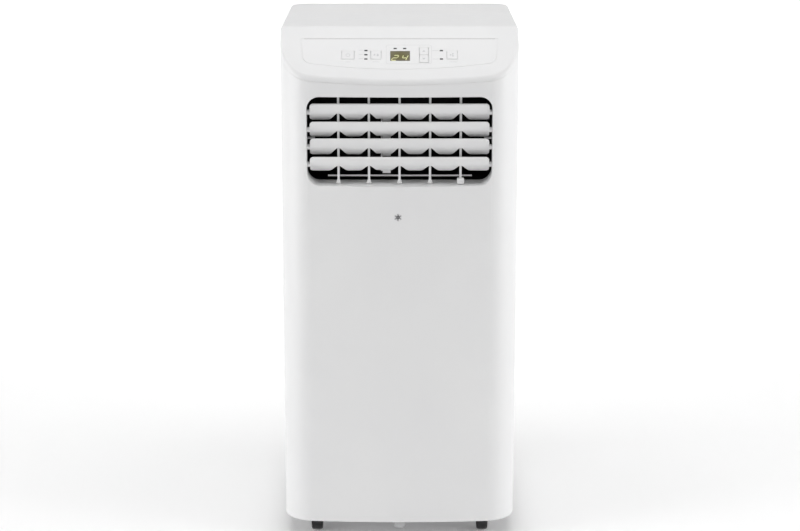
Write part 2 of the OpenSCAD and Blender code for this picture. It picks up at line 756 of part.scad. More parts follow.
module refrigerant_pipes() color(copper) {
    // Suction pipe down from the evaporator to the compressor.
    pipe([[100, -72, 210.5], [100, -72, 245], [118, -20, 245], [118, 20, 245], [118, 20, 350],
        [135, 110, 370], [135, 110, 398]], 5);
    // Discharge pipe to the condenser.
    pipe([[70, -40, 210.5], [70, -40, 240], [70, -10, 248], [70, 20, 252], [100, 32, 200],
        [140, 60, 200], [140, 127, 200]], 4);
    // Liquid pipe from the condenser up to the evaporator.
    pipe([[-141, 127, 90], [-146, 80, 120], [-146, 80, 360], [-135, 110, 374], [-135, 110, 398]], 3);
}

module electrical_box() color(grey) difference() {
    box([-75, -170, 300], [75, -118, 450]);
    box([-73, -160, 302], [73, -120, 448]);
    for (x = [-60, 60], z = [312, 438]) rod_y(x, -175, -150, z, 2);
}

module capacitor() color(metal) translate([105, -135, shelf_z + 3.2]) {
    cylinder(h = 62, r = 18);
    cylinder(h = 3, r = 20);
    for (x = [-6, 6]) translate([x - 2, -0.5, 60]) cube([4, 1, 10]);
}

/* Rear filter cover, filter, grille, drain plug and cord gland */

cover_back = rear_y - 0.3;
cover_front = cover_back - 3;

module filter_cover() color(white) {
    difference() {
        union() {
            box([0.5 - filter_x, cover_front, filter_low + 1.5],
                [filter_x - 0.5, cover_back, filter_high - 0.5]);
            box([0.5 - filter_x, hinge_y - 2.4, hinge_z - 1.6], [filter_x - 0.5, cover_back, hinge_z + 4]);
        }
        for (row = [0 : 20], column = [-1.5, -0.5, 0.5, 1.5])
            box([column * 56 - 25, cover_front - 5, filter_low + 14 + row * 10],
                [column * 56 + 25, cover_back + 1, filter_low + 19 + row * 10]);
        // Finger dip at the upper edge.
        rod_y(0, cover_back - 1.6, cover_back + 5, filter_high + 4, 14);
    }
    for (side = [0, 1]) mirror([side, 0, 0]) rod_x(filter_x - 3, filter_x + 2.7, hinge_y, hinge_z, pin_r);
}

module air_filter() color([0.45, 0.47, 0.5]) {
    difference() {
        box([-115, cover_front - 4.2, filter_low + 10], [115, cover_front - 0.2, filter_high - 6]);
        for (column = [-1, 0, 1])
            box([column * 75 - 34.5, cover_front - 6, filter_low + 14],
                [column * 75 + 34.5, cover_front + 1, filter_high - 10]);
    }
    box([-112, cover_front - 2.6, filter_low + 12], [112, cover_front - 1.8, filter_high - 8]);
}

module lower_grille() color(white) difference() {
    box([0.3 - grille_x, cover_front, grille_low + 0.3], [grille_x - 0.3, cover_back, grille_high - 0.3]);
    for (row = [0 : 11], column = [-1.5, -0.5, 0.5, 1.5])
        box([column * 52 - 23, cover_front - 5, grille_low + 12 + row * 10],
            [column * 52 + 23, cover_back + 1, grille_low + 17 + row * 10]);
}

module drain_plug() color([0.2, 0.2, 0.21]) {
    rod_y(drain_x, rear_y - 22, rear_y - 6.8, drain_z, drain_r);
    rod_y(drain_x, rear_y - 6.8, rear_y - 3, drain_z, 10);
    difference() {
        box([drain_x - 2, rear_y - 4, drain_z - 7], [drain_x + 2, rear_y - 0.4, drain_z + 7]);
        rod_x(drain_x - 5, drain_x + 5, rear_y - 1, drain_z, 1);
    }
}

module cord_gland() color(black) difference() {
    union() {
        rod_y(gland_x, rear_y - 14, rear_y - 0.2, gland_z, 8);
        rod_y(gland_x, rear_y - 1.3, rear_y - 0.2, gland_z, 11);
        rod_y(gland_x, rear_y - 7, rear_y - wall - 0.2, gland_z, 11);
    }
    rod_y(gland_x, rear_y - 20, rear_y + 5, gland_z, 4.2);
}

/* Casters */

axle_r = 2.5;
fork_top = 2 * wheel_r + 5;

module caster_fork(i) color(black) translate([caster_axes[i][0], caster_axes[i][1], 0]) {
    translate([0, 0, fork_top - 2.5]) cylinder(h = 4, r = 11.5);
    translate([0, 0, fork_top]) cylinder(h = boss_top - 4 - fork_top, r = stem_r);
    for (side = [-1, 1]) intersection() {
        side_profile([
            [9, fork_top], [-9, fork_top], [-caster_trail - 5.5, wheel_r + 2],
            [-caster_trail - 4, wheel_r - 3.6], [-caster_trail + 4, wheel_r - 3.6],
            [-caster_trail + 7, wheel_r + 3]
        ], 60);
        box([side * (wheel_w / 2 + 1.6) - 1.2, -40, 0], [side * (wheel_w / 2 + 1.6) + 1.2, 40, 60]);
    }
    rod_x(-wheel_w / 2 - 2, wheel_w / 2 + 2, -caster_trail, wheel_r, axle_r);
}

// A wheel with its hub, web and tread in one outline, turned about its axle.
module caster_wheel(i) color(black)
    translate([caster_axes[i][0], caster_axes[i][1] - caster_trail, wheel_r])
    rotate([0, 90, 0]) rotate_extrude($fn = 64) {
        translate([axle_r + fit_gap, -wheel_w / 2]) square([4, wheel_w]);
        translate([axle_r + 2, -wheel_w / 2 + 2]) square([wheel_r - 6 - axle_r, wheel_w - 4]);
        polygon(concat([[wheel_r - 5, -wheel_w / 2]], arc(wheel_r - 3, 3 - wheel_w / 2, 3, -90, 0, 6),
            arc(wheel_r - 3, wheel_w / 2 - 3, 3, 0, 90, 6), [[wheel_r - 5, wheel_w / 2]]));
    }

module fork_front_left() caster_fork(0);
module fork_front_right() caster_fork(1);
module fork_rear_left() caster_fork(2);
module fork_rear_right() caster_fork(3);
module wheel_front_left() caster_wheel(0);
module wheel_front_right() caster_wheel(1);
module wheel_rear_left() caster_wheel(2);
module wheel_rear_right() caster_wheel(3);

front_panel();
rear_panel();
top_cover();
base_pan();
front_fixing_cap();
control_overlay();
display_window();
led_indicators();
control_board();
key_power();
key_mode();
key_temp_up();
key_temp_down();
key_fan();
louver_1();
louver_2();
louver_3();
louver_4();
louver_link();
vane_1();
vane_2();
vane_3();
vane_4();
vane_5();
vane_link();
air_duct();
blower_scroll();
blower_wheel();
blower_motor();
evaporator();
partition_tray();
condenser();
condenser_scroll();
condenser_wheel();
condenser_motor();
exhaust_duct();
exhaust_collar();
compressor();
compressor_grommets();
refrigerant_pipes();
electrical_box();
capacitor();
filter_cover();
air_filter();
lower_grille();
drain_plug();
cord_gland();
handle_cups();
casing_screws();
fork_front_left();
fork_front_right();
fork_rear_left();
fork_rear_right();
wheel_front_left();
wheel_front_right();
wheel_rear_left();
wheel_rear_right();
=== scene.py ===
"""Looks of a portable air conditioner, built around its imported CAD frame. Metres, -Y is the front, +Z up."""

import json
import math

import bmesh
import bpy
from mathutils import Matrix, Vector


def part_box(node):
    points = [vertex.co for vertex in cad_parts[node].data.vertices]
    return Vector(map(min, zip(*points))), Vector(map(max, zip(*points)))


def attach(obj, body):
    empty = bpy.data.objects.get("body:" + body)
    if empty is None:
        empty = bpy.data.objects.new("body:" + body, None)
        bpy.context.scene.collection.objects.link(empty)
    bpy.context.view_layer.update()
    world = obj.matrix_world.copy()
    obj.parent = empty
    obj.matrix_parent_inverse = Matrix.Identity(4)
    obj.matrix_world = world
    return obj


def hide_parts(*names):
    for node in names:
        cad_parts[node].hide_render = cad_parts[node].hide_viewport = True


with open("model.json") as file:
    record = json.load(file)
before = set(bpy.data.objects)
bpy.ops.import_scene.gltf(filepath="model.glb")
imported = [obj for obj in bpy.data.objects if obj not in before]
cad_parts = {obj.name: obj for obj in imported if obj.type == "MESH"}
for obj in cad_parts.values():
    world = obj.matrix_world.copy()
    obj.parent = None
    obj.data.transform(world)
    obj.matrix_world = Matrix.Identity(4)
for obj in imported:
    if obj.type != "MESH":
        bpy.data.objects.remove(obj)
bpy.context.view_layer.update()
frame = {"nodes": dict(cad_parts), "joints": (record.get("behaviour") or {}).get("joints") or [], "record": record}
MM = 0.001


# ---------------------------------------------------------------- camera

# Fitted to the unit's outline in the photo: a long lens, a little above the unit.
CAMERA_LENS = 93.3
CAMERA_PLACE = (0.0006, -2.8637, 1.0104)
CAMERA_PITCH = math.radians(76.88)


def make_camera():
    data = bpy.data.cameras.new("camera")
    data.lens = CAMERA_LENS
    camera = bpy.data.objects.new("camera", data)
    camera.location = CAMERA_PLACE
    camera.rotation_euler = (CAMERA_PITCH, 0, 0)
    bpy.context.scene.collection.objects.link(camera)
    bpy.context.scene.camera = camera


make_camera()


# ---------------------------------------------------------------- materials

def start_material(name):
    """A new material with its Principled shader and object coordinates."""
    material = bpy.data.materials.new(name)
    material.use_nodes = True
    tree = material.node_tree
    coordinates = tree.nodes.new("ShaderNodeTexCoord").outputs["Object"]
    return material, tree, tree.nodes["Principled BSDF"], coordinates


def noise(tree, coordinates, scale, detail=2.0, roughness=0.5):
    node = tree.nodes.new("ShaderNodeTexNoise")
    node.inputs["Scale"].default_value = scale
    node.inputs["Detail"].default_value = detail
    node.inputs["Roughness"].default_value = roughness
    tree.links.new(coordinates, node.inputs["Vector"])
    return node.outputs["Fac"]


def blend_colours(tree, factor, first, second):
    node = tree.nodes.new("ShaderNodeMix")
    node.data_type = "RGBA"
    node.inputs["A"].default_value = (*first, 1)
    node.inputs["B"].default_value = (*second, 1)
    tree.links.new(factor, node.inputs["Factor"])
    return node.outputs["Result"]


def spread(tree, value, low, high, from_low=0.3, from_high=0.7):
    """Maps a texture's value onto the range low to high."""
    node = tree.nodes.new("ShaderNodeMapRange")
    node.inputs["From Min"].default_value = from_low
    node.inputs["From Max"].default_value = from_high
    node.inputs["To Min"].default_value = low
    node.inputs["To Max"].default_value = high
    tree.links.new(value, node.inputs["Value"])
    return node.outputs["Result"]


def bump(tree, shader, height, depth, strength=1.0):
    node = tree.nodes.new("ShaderNodeBump")
    node.inputs["Strength"].default_value = strength
    node.inputs["Distance"].default_value = depth
    tree.links.new(height, node.inputs["Height"])
    tree.links.new(node.outputs["Normal"], shader.inputs["Normal"])


def plastic(name, colour, shade, roughness, grain=1400, grain_depth=0.000012, specular=0.5):
    """Moulded plastic: a fine spark-eroded grain, slow changes of tone and uneven gloss."""
    material, tree, shader, coordinates = start_material(name)
    tone = spread(tree, noise(tree, coordinates, 9, 3), 0, 1)
    tree.links.new(blend_colours(tree, tone, colour, shade), shader.inputs["Base Color"])
    gloss = noise(tree, coordinates, 60, 4, 0.6)
    tree.links.new(spread(tree, gloss, roughness - 0.05, roughness + 0.05), shader.inputs["Roughness"])
    bump(tree, shader, noise(tree, coordinates, grain, 3, 0.6), grain_depth)
    shader.inputs["Specular IOR Level"].default_value = specular
    return material


def metal(name, colour, shade, roughness, stretch=(1, 1, 1), grain=500, grain_depth=0.00001):
    """Bare or plated metal with drawing marks, stretched along one axis."""
    material, tree, shader, coordinates = start_material(name)
    mapping = tree.nodes.new("ShaderNodeMapping")
    mapping.inputs["Scale"].default_value = stretch
    tree.links.new(coordinates, mapping.inputs["Vector"])
    marks = noise(tree, mapping.outputs["Vector"], grain, 4, 0.7)
    tree.links.new(blend_colours(tree, marks, colour, shade), shader.inputs["Base Color"])
    tree.links.new(spread(tree, marks, roughness - 0.08, roughness + 0.1), shader.inputs["Roughness"])
    bump(tree, shader, marks, grain_depth)
    shader.inputs["Metallic"].default_value = 1.0
    return material


def display_lens(name, middle, half):
    """A smoked window, olive in its middle and paler towards its edge."""
    material, tree, shader, coordinates = start_material(name)
    mapping = tree.nodes.new("ShaderNodeMapping")
    mapping.vector_type = "TEXTURE"
    mapping.inputs["Location"].default_value = middle
    mapping.inputs["Rotation"].default_value = (SLANT, 0, 0)
    mapping.inputs["Scale"].default_value = (half[0], half[1], 1)
    tree.links.new(coordinates, mapping.inputs["Vector"])
    flat = tree.nodes.new("ShaderNodeVectorMath")
    flat.operation = "MULTIPLY"
    flat.inputs[1].default_value = (1, 1, 0)
    tree.links.new(mapping.outputs["Vector"], flat.inputs[0])
    length = tree.nodes.new("ShaderNodeVectorMath")
    length.operation = "LENGTH"
    tree.links.new(flat.outputs["Vector"], length.inputs[0])
    rim = spread(tree, length.outputs["Value"], 0, 1, 0.35, 1.15)
    olive, pale = (0.105, 0.09, 0.010), (0.13, 0.115, 0.06)
    tree.links.new(blend_colours(tree, rim, olive, pale), shader.inputs["Base Color"])
    shader.inputs["Roughness"].default_value = 0.22
    shader.inputs["Specular IOR Level"].default_value = 0.3
    bump(tree, shader, noise(tree, coordinates, 300, 2), 0.000004)
    return material


def lit_digit(name):
    """Lit segments of slightly uneven brightness."""
    material, tree, shader, coordinates = start_material(name)
    bright, dim = (0.62, 0.62, 0.30), (0.50, 0.50, 0.20)
    tone = blend_colours(tree, noise(tree, coordinates, 500, 2), bright, dim)
    tree.links.new(tone, shader.inputs["Base Color"])
    tree.links.new(tone, shader.inputs["Emission Color"])
    shader.inputs["Emission Strength"].default_value = 0.3
    shader.inputs["Roughness"].default_value = 0.4
    return material


def circuit_board(name):
    """Green solder mask over slightly raised tracks."""
    material, tree, shader, coordinates = start_material(name)
    brick = tree.nodes.new("ShaderNodeTexBrick")
    brick.inputs["Scale"].default_value = 160
    brick.inputs["Color1"].default_value = (0.012, 0.12, 0.035, 1)
    brick.inputs["Color2"].default_value = (0.016, 0.15, 0.045, 1)
    brick.inputs["Mortar"].default_value = (0.03, 0.22, 0.07, 1)
    brick.inputs["Mortar Size"].default_value = 0.03
    tree.links.new(coordinates, brick.inputs["Vector"])
    tree.links.new(brick.outputs["Color"], shader.inputs["Base Color"])
    shader.inputs["Roughness"].default_value = 0.35
    bump(tree, shader, brick.outputs["Fac"], 0.00003)
    return material


# The keys slide straight into the slanted face, so their joint gives its normal.
press = Vector(next(j["axis"] for j in frame["joints"] if j["name"] == "key_power_press"))
OUT = -press
ACROSS = Vector((1, 0, 0))
UP = OUT.cross(ACROSS)
SLANT = math.atan2(UP.z, UP.y)


def on_face(u, v, w):
    """A point of the slanted face: across it, up it and out of it."""
    return ACROSS * u + UP * v + OUT * w


def face_box(node):
    """Lowest and highest (u, v, w) of a CAD node, measured along the slanted face."""
    points = [vertex.co for vertex in frame["nodes"][node].data.vertices]
    measured = [(p.x, p.dot(UP), p.dot(OUT)) for p in points]
    return (Vector(min(m[i] for m in measured) for i in range(3)),
            Vector(max(m[i] for m in measured) for i in range(3)))


window_low, window_high = face_box("display_window")
window_middle = (window_low + window_high) / 2
window_half = (window_high - window_low) / 2

MATERIALS = {
    "white_plastic": plastic(
        "white_plastic", (0.80, 0.80, 0.80), (0.78, 0.78, 0.785), roughness=0.42),
    "overlay_plastic": plastic(
        "overlay_plastic", (0.79, 0.79, 0.79), (0.78, 0.78, 0.785), roughness=0.36,
        grain=2500, grain_depth=0.000003),
    "key_plastic": plastic(
        "key_plastic", (0.785, 0.785, 0.785), (0.775, 0.775, 0.78), roughness=0.38,
        grain=2500, grain_depth=0.000004),
    "display_lens": display_lens("display_lens", on_face(*window_middle), window_half),
    "indicator": plastic(
        "indicator", (0.02, 0.02, 0.02), (0.03, 0.03, 0.03), roughness=0.35,
        grain=1500, grain_depth=0.000004, specular=0.25),
    "grey_plastic": plastic(
        "grey_plastic", (0.34, 0.34, 0.35), (0.31, 0.31, 0.32), roughness=0.5),
    "cap_plastic": plastic(
        "cap_plastic", (0.55, 0.55, 0.55), (0.51, 0.51, 0.52), roughness=0.45),
    "black_plastic": plastic(
        "black_plastic", (0.008, 0.008, 0.009), (0.012, 0.012, 0.012), roughness=0.55,
        grain=900, grain_depth=0.00002, specular=0.3),
    "filter_mesh": plastic(
        "filter_mesh", (0.10, 0.11, 0.12), (0.13, 0.14, 0.15), roughness=0.6,
        grain=1800, grain_depth=0.00002, specular=0.3),
    "circuit_board": circuit_board("circuit_board"),
    "coil_metal": metal(
        "coil_metal", (0.72, 0.73, 0.74), (0.6, 0.61, 0.62), roughness=0.35, stretch=(0.2, 1, 1)),
    "motor_metal": metal(
        "motor_metal", (0.55, 0.56, 0.57), (0.45, 0.46, 0.47), roughness=0.4, stretch=(1, 0.1, 1)),
    "compressor_paint": plastic(
        "compressor_paint", (0.012, 0.012, 0.013), (0.02, 0.02, 0.021), roughness=0.32,
        grain=350, grain_depth=0.00004),
    "copper": metal(
        "copper", (0.83, 0.42, 0.25), (0.62, 0.27, 0.15), roughness=0.3, stretch=(1, 1, 0.2)),
    "screw_steel": metal(
        "screw_steel", (0.62, 0.62, 0.63), (0.5, 0.5, 0.52), roughness=0.28,
        grain=1500, grain_depth=0.000006),
    "rubber": plastic(
        "rubber", (0.022, 0.022, 0.023), (0.03, 0.03, 0.03), roughness=0.62,
        grain=700, grain_depth=0.00003, specular=0.35),
    "caster_plastic": plastic(
        "caster_plastic", (0.012, 0.012, 0.013), (0.02, 0.02, 0.02), roughness=0.42,
        grain=800, grain_depth=0.00002, specular=0.45),
    "print_ink": plastic(
        "print_ink", (0.60, 0.60, 0.605), (0.57, 0.57, 0.58), roughness=0.5,
        grain=3000, grain_depth=0.000003),
    # Dark ink for the front mark, also used as painted shadow for the line along the control sheet's top edge.
    "mark_ink_and_painted_shade": plastic(
        "mark_ink_and_painted_shade", (0.27, 0.27, 0.28), (0.32, 0.32, 0.33), roughness=0.4,
        grain=3000, grain_depth=0.000003),
    "lit_digit": lit_digit("lit_digit"),
}


# ---------------------------------------------------------------- CAD nodes

SMOOTH_BELOW = math.radians(28)
BEVEL_ABOVE = math.radians(50)
WELD_DISTANCE = 0.000002


def shading_group():
    """Geometry nodes that shade a mesh smooth except at edges sharper than an angle."""
    group = bpy.data.node_groups.new("smooth_by_angle", "GeometryNodeTree")
    group.interface.new_socket("Geometry", in_out="INPUT", socket_type="NodeSocketGeometry")
    group.interface.new_socket("Geometry", in_out="OUTPUT", socket_type="NodeSocketGeometry")
    nodes, link = group.nodes, group.links.new
    source, target = nodes.new("NodeGroupInput"), nodes.new("NodeGroupOutput")
    angle = nodes.new("GeometryNodeInputMeshEdgeAngle")
    flatter = nodes.new("FunctionNodeCompare")
    flatter.operation = "LESS_THAN"
    flatter.inputs["B"].default_value = SMOOTH_BELOW
    link(angle.outputs["Unsigned Angle"], flatter.inputs["A"])
    faces = nodes.new("GeometryNodeSetShadeSmooth")
    edges = nodes.new("GeometryNodeSetShadeSmooth")
    edges.domain = "EDGE"
    link(source.outputs[0], faces.inputs["Geometry"])
    link(faces.outputs[0], edges.inputs["Geometry"])
    link(flatter.outputs["Result"], edges.inputs["Shade Smooth"])
    link(edges.outputs[0], target.inputs[0])
    return group


SMOOTH_BY_ANGLE = shading_group()


def soften(piece, edge_radius):
    """Joins the tessellation's split vertices, rounds the sharp edges and shades the curves smooth."""
    custom = piece.data.attributes.get("custom_normal")
    if custom:
        piece.data.attributes.remove(custom)
    weld = piece.modifiers.new("weld", "WELD")
    weld.merge_threshold = WELD_DISTANCE
    if edge_radius:
        bevel = piece.modifiers.new("edges", "BEVEL")
        bevel.width = edge_radius
        bevel.segments = 2
        bevel.limit_method = "ANGLE"
        bevel.angle_limit = BEVEL_ABOVE
        bevel.use_clamp_overlap = True
    smooth = piece.modifiers.new("smooth_by_angle", "NODES")
    smooth.node_group = SMOOTH_BY_ANGLE
    weighted = piece.modifiers.new("weighted_normals", "WEIGHTED_NORMAL")
    weighted.weight = 100
    weighted.keep_sharp = True


# Radii of the rounded edges, in millimetres. The other nodes keep theirs as the CAD has them.
EDGE_RADIUS = {
    "front_panel": 0.9,
    "rear_panel": 0.5,
    "top_cover": 0.3,
    "filter_cover": 0.4,
    "lower_grille": 0.4,
    "exhaust_collar": 0.8,
    "handle_cups": 0.8,
}
EDGE_RADIUS.update({f"louver_{i}": 0.35 for i in range(1, 5)})
EDGE_RADIUS.update({f"vane_{i}": 0.3 for i in range(1, 6)})
EDGE_RADIUS.update({node: 0.25 for node in frame["nodes"] if node.startswith("key_")})
SLOTS = {part["node"]: part["material_slot"] for part in frame["record"]["subparts"]}

for node, piece in frame["nodes"].items():
    piece.data.materials.clear()
    piece.data.materials.append(MATERIALS[SLOTS[node]])
    soften(piece, EDGE_RADIUS.get(node, 0) * MM)


# ---------------------------------------------------------------- mesh helpers

def make_piece(name, mesh_maker, body, slot, material=None, edge_radius=0):
    """Runs mesh_maker on a new bmesh and makes the piece, riding on a body."""
    mesh = bpy.data.meshes.new(name)
    shape = bmesh.new()
    mesh_maker(shape)
    bmesh.ops.recalc_face_normals(shape, faces=shape.faces)
    shape.to_mesh(mesh)
    shape.free()
    piece = bpy.data.objects.new(name, mesh)
    bpy.context.scene.collection.objects.link(piece)
    mesh.materials.append(MATERIALS[material or slot])
    soften(piece, edge_radius)
    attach(piece, body)
    return piece


def add_box(shape, low, high):
    """A closed box between two corners."""
    corners = [shape.verts.new((x, y, z))
               for x in (low[0], high[0]) for y in (low[1], high[1]) for z in (low[2], high[2])]
    for face in ((0, 1, 3, 2), (4, 6, 7, 5), (0, 4, 5, 1), (2, 3, 7, 6), (0, 2, 6, 4), (1, 5, 7, 3)):
        shape.faces.new([corners[i] for i in face])


def add_patch(shape, outline, place, w0, w1):
    """A closed outline of (u, v) points, raised from depth w0 to w1 where place puts it."""
    lower = [shape.verts.new(place(u, v, w0)) for u, v in outline]
    upper = [shape.verts.new(place(u, v, w1)) for u, v in outline]
    shape.faces.new(lower)
    shape.faces.new(upper)
    for i in range(len(outline)):
        k = (i + 1) % len(outline)
        shape.faces.new([lower[i], lower[k], upper[k], upper[i]])


def add_band(shape, outer, inner, place, w0, w1):
    """A closed ring between two outlines with as many points each."""
    loops = [[shape.verts.new(place(u, v, w)) for u, v in line] for line, w in
             ((outer, w0), (outer, w1), (inner, w1), (inner, w0))]
    for a in range(4):
        first, second = loops[a], loops[(a + 1) % 4]
        for i in range(len(outer)):
            k = (i + 1) % len(outer)
            shape.faces.new([first[i], first[k], second[k], second[i]])


def add_tube(shape, path, radius, sides=10):
    """A round tube with closed ends along a path of points that never runs along Y."""
    sideways = Vector((0, 1, 0.01))
    turns = [2 * math.pi * k / sides for k in range(sides)]
    rings = []
    for i, point in enumerate(path):
        ahead = (path[min(i + 1, len(path) - 1)] - path[max(i - 1, 0)]).normalized()
        side = ahead.cross(sideways).normalized()
        other = ahead.cross(side)
        rings.append([shape.verts.new(point + radius * (math.cos(t) * side + math.sin(t) * other))
                      for t in turns])
    for first, second in zip(rings, rings[1:]):
        for k in range(sides):
            m = (k + 1) % sides
            shape.faces.new([first[k], first[m], second[m], second[k]])
    shape.faces.new(rings[0])
    shape.faces.new(rings[-1])


def circle_points(u, v, radius, steps=32, start=0.0, turn=2 * math.pi):
    """Points of a whole circle, or of an arc with both of its ends."""
    closed = abs(turn) >= 2 * math.pi
    angles = [start + turn * i / steps for i in range(steps if closed else steps + 1)]
    return [(u + radius * math.cos(a), v + radius * math.sin(a)) for a in angles]


def rounded_outline(u0, v0, u1, v1, radius, steps=6):
    """A rectangle with round corners."""
    points = []
    for u, v, start in ((u1 - radius, v1 - radius, 0), (u0 + radius, v1 - radius, 90),
                        (u0 + radius, v0 + radius, 180), (u1 - radius, v0 + radius, 270)):
        points += circle_points(u, v, radius, steps, math.radians(start), math.pi / 2)
    return points


def bar(u0, v0, u1, v1, width):
    """The outline of a straight stroke."""
    along = Vector((u1 - u0, v1 - v0)).normalized() * (width / 2)
    side = Vector((-along.y, along.x))
    return [(u0 + side.x, v0 + side.y), (u0 - side.x, v0 - side.y),
            (u1 - side.x, v1 - side.y), (u1 + side.x, v1 + side.y)]


# ---------------------------------------------------------------- controls

SHEET_LAYER = 0.03 * MM
face_level = face_box("control_overlay")[1].z


def lay_print_and_painted_shade(shape, outline):
    """A closed outline laid one thin layer deep on the control sheet: the print, and also the painted shadow line
    along the sheet's top edge.
    """
    add_patch(shape, outline, on_face, face_level, face_level + SHEET_LAYER)


def make_digits():
    """The set temperature in slanted seven-segment digits, low in the window."""
    lit = {"2": "abged", "4": "fgbc"}
    lefts = {"2": 1.5 * MM, "4": 14.0 * MM}
    width, height, lean = 6.2 * MM, 8.7 * MM, 0.40
    stroke, gap = 1.15 * MM, 0.18 * MM
    half = stroke / 2
    base = window_low.y + half + 0.05 * MM
    lower, upper = window_high.z + 0.01 * MM, window_high.z + 0.05 * MM

    def segment(letter, u, v):
        a, b, m = v, v + height, v + height / 2
        spans = {"a": (u, b, u + width, b), "g": (u, m, u + width, m), "d": (u, a, u + width, a),
                 "f": (u, m, u, b), "b": (u + width, m, u + width, b),
                 "e": (u, a, u, m), "c": (u + width, a, u + width, m)}
        u0, v0, u1, v1 = spans[letter]
        along = Vector((u1 - u0, v1 - v0)).normalized()
        side = Vector((-along.y, along.x)) * half
        start, end = Vector((u0, v0)) + along * gap, Vector((u1, v1)) - along * gap
        inner = along * half
        points = [start, start + inner + side, end - inner + side,
                  end, end - inner - side, start + inner - side]
        return [(p.x + lean * (p.y - v), p.y) for p in points]

    def build(shape):
        for digit, left in lefts.items():
            for letter in lit[digit]:
                outline = segment(letter, window_low.x + left, base)
                add_patch(shape, outline, on_face, lower, upper)

    make_piece("display_digits", build, "root", "display_lens", "lit_digit")


def add_label(shape, u, v, length, height):
    """A short round-ended bar in place of a word in print."""
    lay_print_and_painted_shade(shape, rounded_outline(u, v, u + length, v + height, height * 0.45, 3))


def add_display_frame(shape):
    """The fine line round the display and the up and down keys."""
    line, corner = 0.3 * MM, 3 * MM
    up_high, down_low = face_box("key_temp_up")[1], face_box("key_temp_down")[0]
    u0, u1 = window_low.x - 5.5 * MM, up_high.x + 3.2 * MM
    v0, v1 = down_low.y - 2.3 * MM, up_high.y + 4.4 * MM
    outer = rounded_outline(u0, v0, u1, v1, corner)
    inner = rounded_outline(u0 + line, v0 + line, u1 - line, v1 - line, corner - line)
    add_band(shape, outer, inner, on_face, face_level, face_level + SHEET_LAYER)


def make_panel_print():
    """Fine lines and short bars in print on the control sheet, and a painted shadow line along the sheet's top
    edge, where the edge of its recess casts shade.
    """
    key_labels = (("key_mode", 9, 0), ("key_fan", 10.5, 1.4), ("key_power", 6.5, 0))
    key_label_drop, key_label_height = 5.2 * MM, 0.45 * MM
    side_label_height = 0.55 * MM
    left_labels, left_length, left_reach = (3.4, 10.6, 17.9), 5.4 * MM, 14.6 * MM
    right_labels, right_length, right_reach = (2.8, 17.1), 8 * MM, 3.8 * MM

    def build(shape):
        add_display_frame(shape)
        for key, length, shift in key_labels:
            low, high = face_box(key)
            middle = (low.x + high.x) / 2 + shift * MM
            add_label(shape, middle - length * MM / 2, low.y - key_label_drop, length * MM, key_label_height)
        left = face_box("key_mode")[0].x - left_reach
        for up in left_labels:
            add_label(shape, left, window_low.y + up * MM, left_length, side_label_height)
        right = face_box("key_temp_up")[1].x + right_reach
        for up in right_labels:
            add_label(shape, right, window_low.y + up * MM, right_length, side_label_height)

    # Painted shadow: this dark line stands in for the shade that the edge of the control sheet's recess casts
    # along its top.
    def build_shadow_line(shape):
        low, high = face_box("control_overlay")
        margin, level, width = 4 * MM, high.y - 0.3 * MM, 0.42 * MM
        lay_print_and_painted_shade(shape, bar(low.x + margin, level, high.x - margin, level, width))

    make_piece("panel_print", build, "root", "overlay_plastic", "print_ink")
    make_piece("panel_painted_shadow", build_shadow_line, "root", "overlay_plastic", "mark_ink_and_painted_shade")


def make_key_icon(key, draw):
    """The symbol on a key. draw gets a patch and a band maker and works in millimetres."""
    low, high = face_box(key)
    thickness = 0.03

    def place(u, v, w):
        return on_face((low.x + high.x) / 2 + u * MM, (low.y + high.y) / 2 + v * MM, high.z + w * MM)

    def build(shape):
        draw(lambda outline: add_patch(shape, outline, place, 0, thickness),
             lambda outer, inner: add_band(shape, outer, inner, place, 0, thickness))

    make_piece(key + "_icon", build, key, "key_plastic", "print_ink")


def draw_power(patch, _band):
    """An open ring with a stroke in its gap."""
    middle, outer_radius, inner_radius = -0.3, 2.9, 2.3
    start, turn = math.radians(122), math.radians(296)
    outer = circle_points(0, middle, outer_radius, 28, start, turn)
    inner = circle_points(0, middle, inner_radius, 28, start, turn)
    patch(outer + inner[::-1])
    patch(bar(0, 0.4, 0, 3.2, 0.6))


def draw_mode(patch, _band):
    """A sun and a drop side by side."""
    sun, ray_start, ray_end, ray_width = -1.9, 1.6, 2.4, 0.35
    patch(circle_points(sun, 0, 1.1, 20))
    for i in range(8):
        a = math.pi * i / 4
        patch(bar(sun + ray_start * math.cos(a), ray_start * math.sin(a),
                  sun + ray_end * math.cos(a), ray_end * math.sin(a), ray_width))
    drop = 2.4
    patch([(drop, 2.5)] + circle_points(drop, -0.8, 1.4, 16, math.radians(150), math.radians(240)))


def draw_up(patch, _band):
    patch([(-2.1, -1.2), (2.1, -1.2), (0, 1.7)])


def draw_down(patch, _band):
    patch([(2.1, 1.2), (-2.1, 1.2), (0, -1.7)])


def draw_fan(patch, band):
    """A hub and three blades, each narrower at its root."""
    band(circle_points(0, 0, 0.8, 24), circle_points(0, 0, 0.35, 24))
    for i in range(3):
        start = math.radians(120 * i + 30)
        outer = circle_points(0, 0, 3.0, 10, start, math.radians(62))
        inner = circle_points(0, 0, 1.05, 10, start + math.radians(18), math.radians(30))
        patch(outer + inner[::-1])


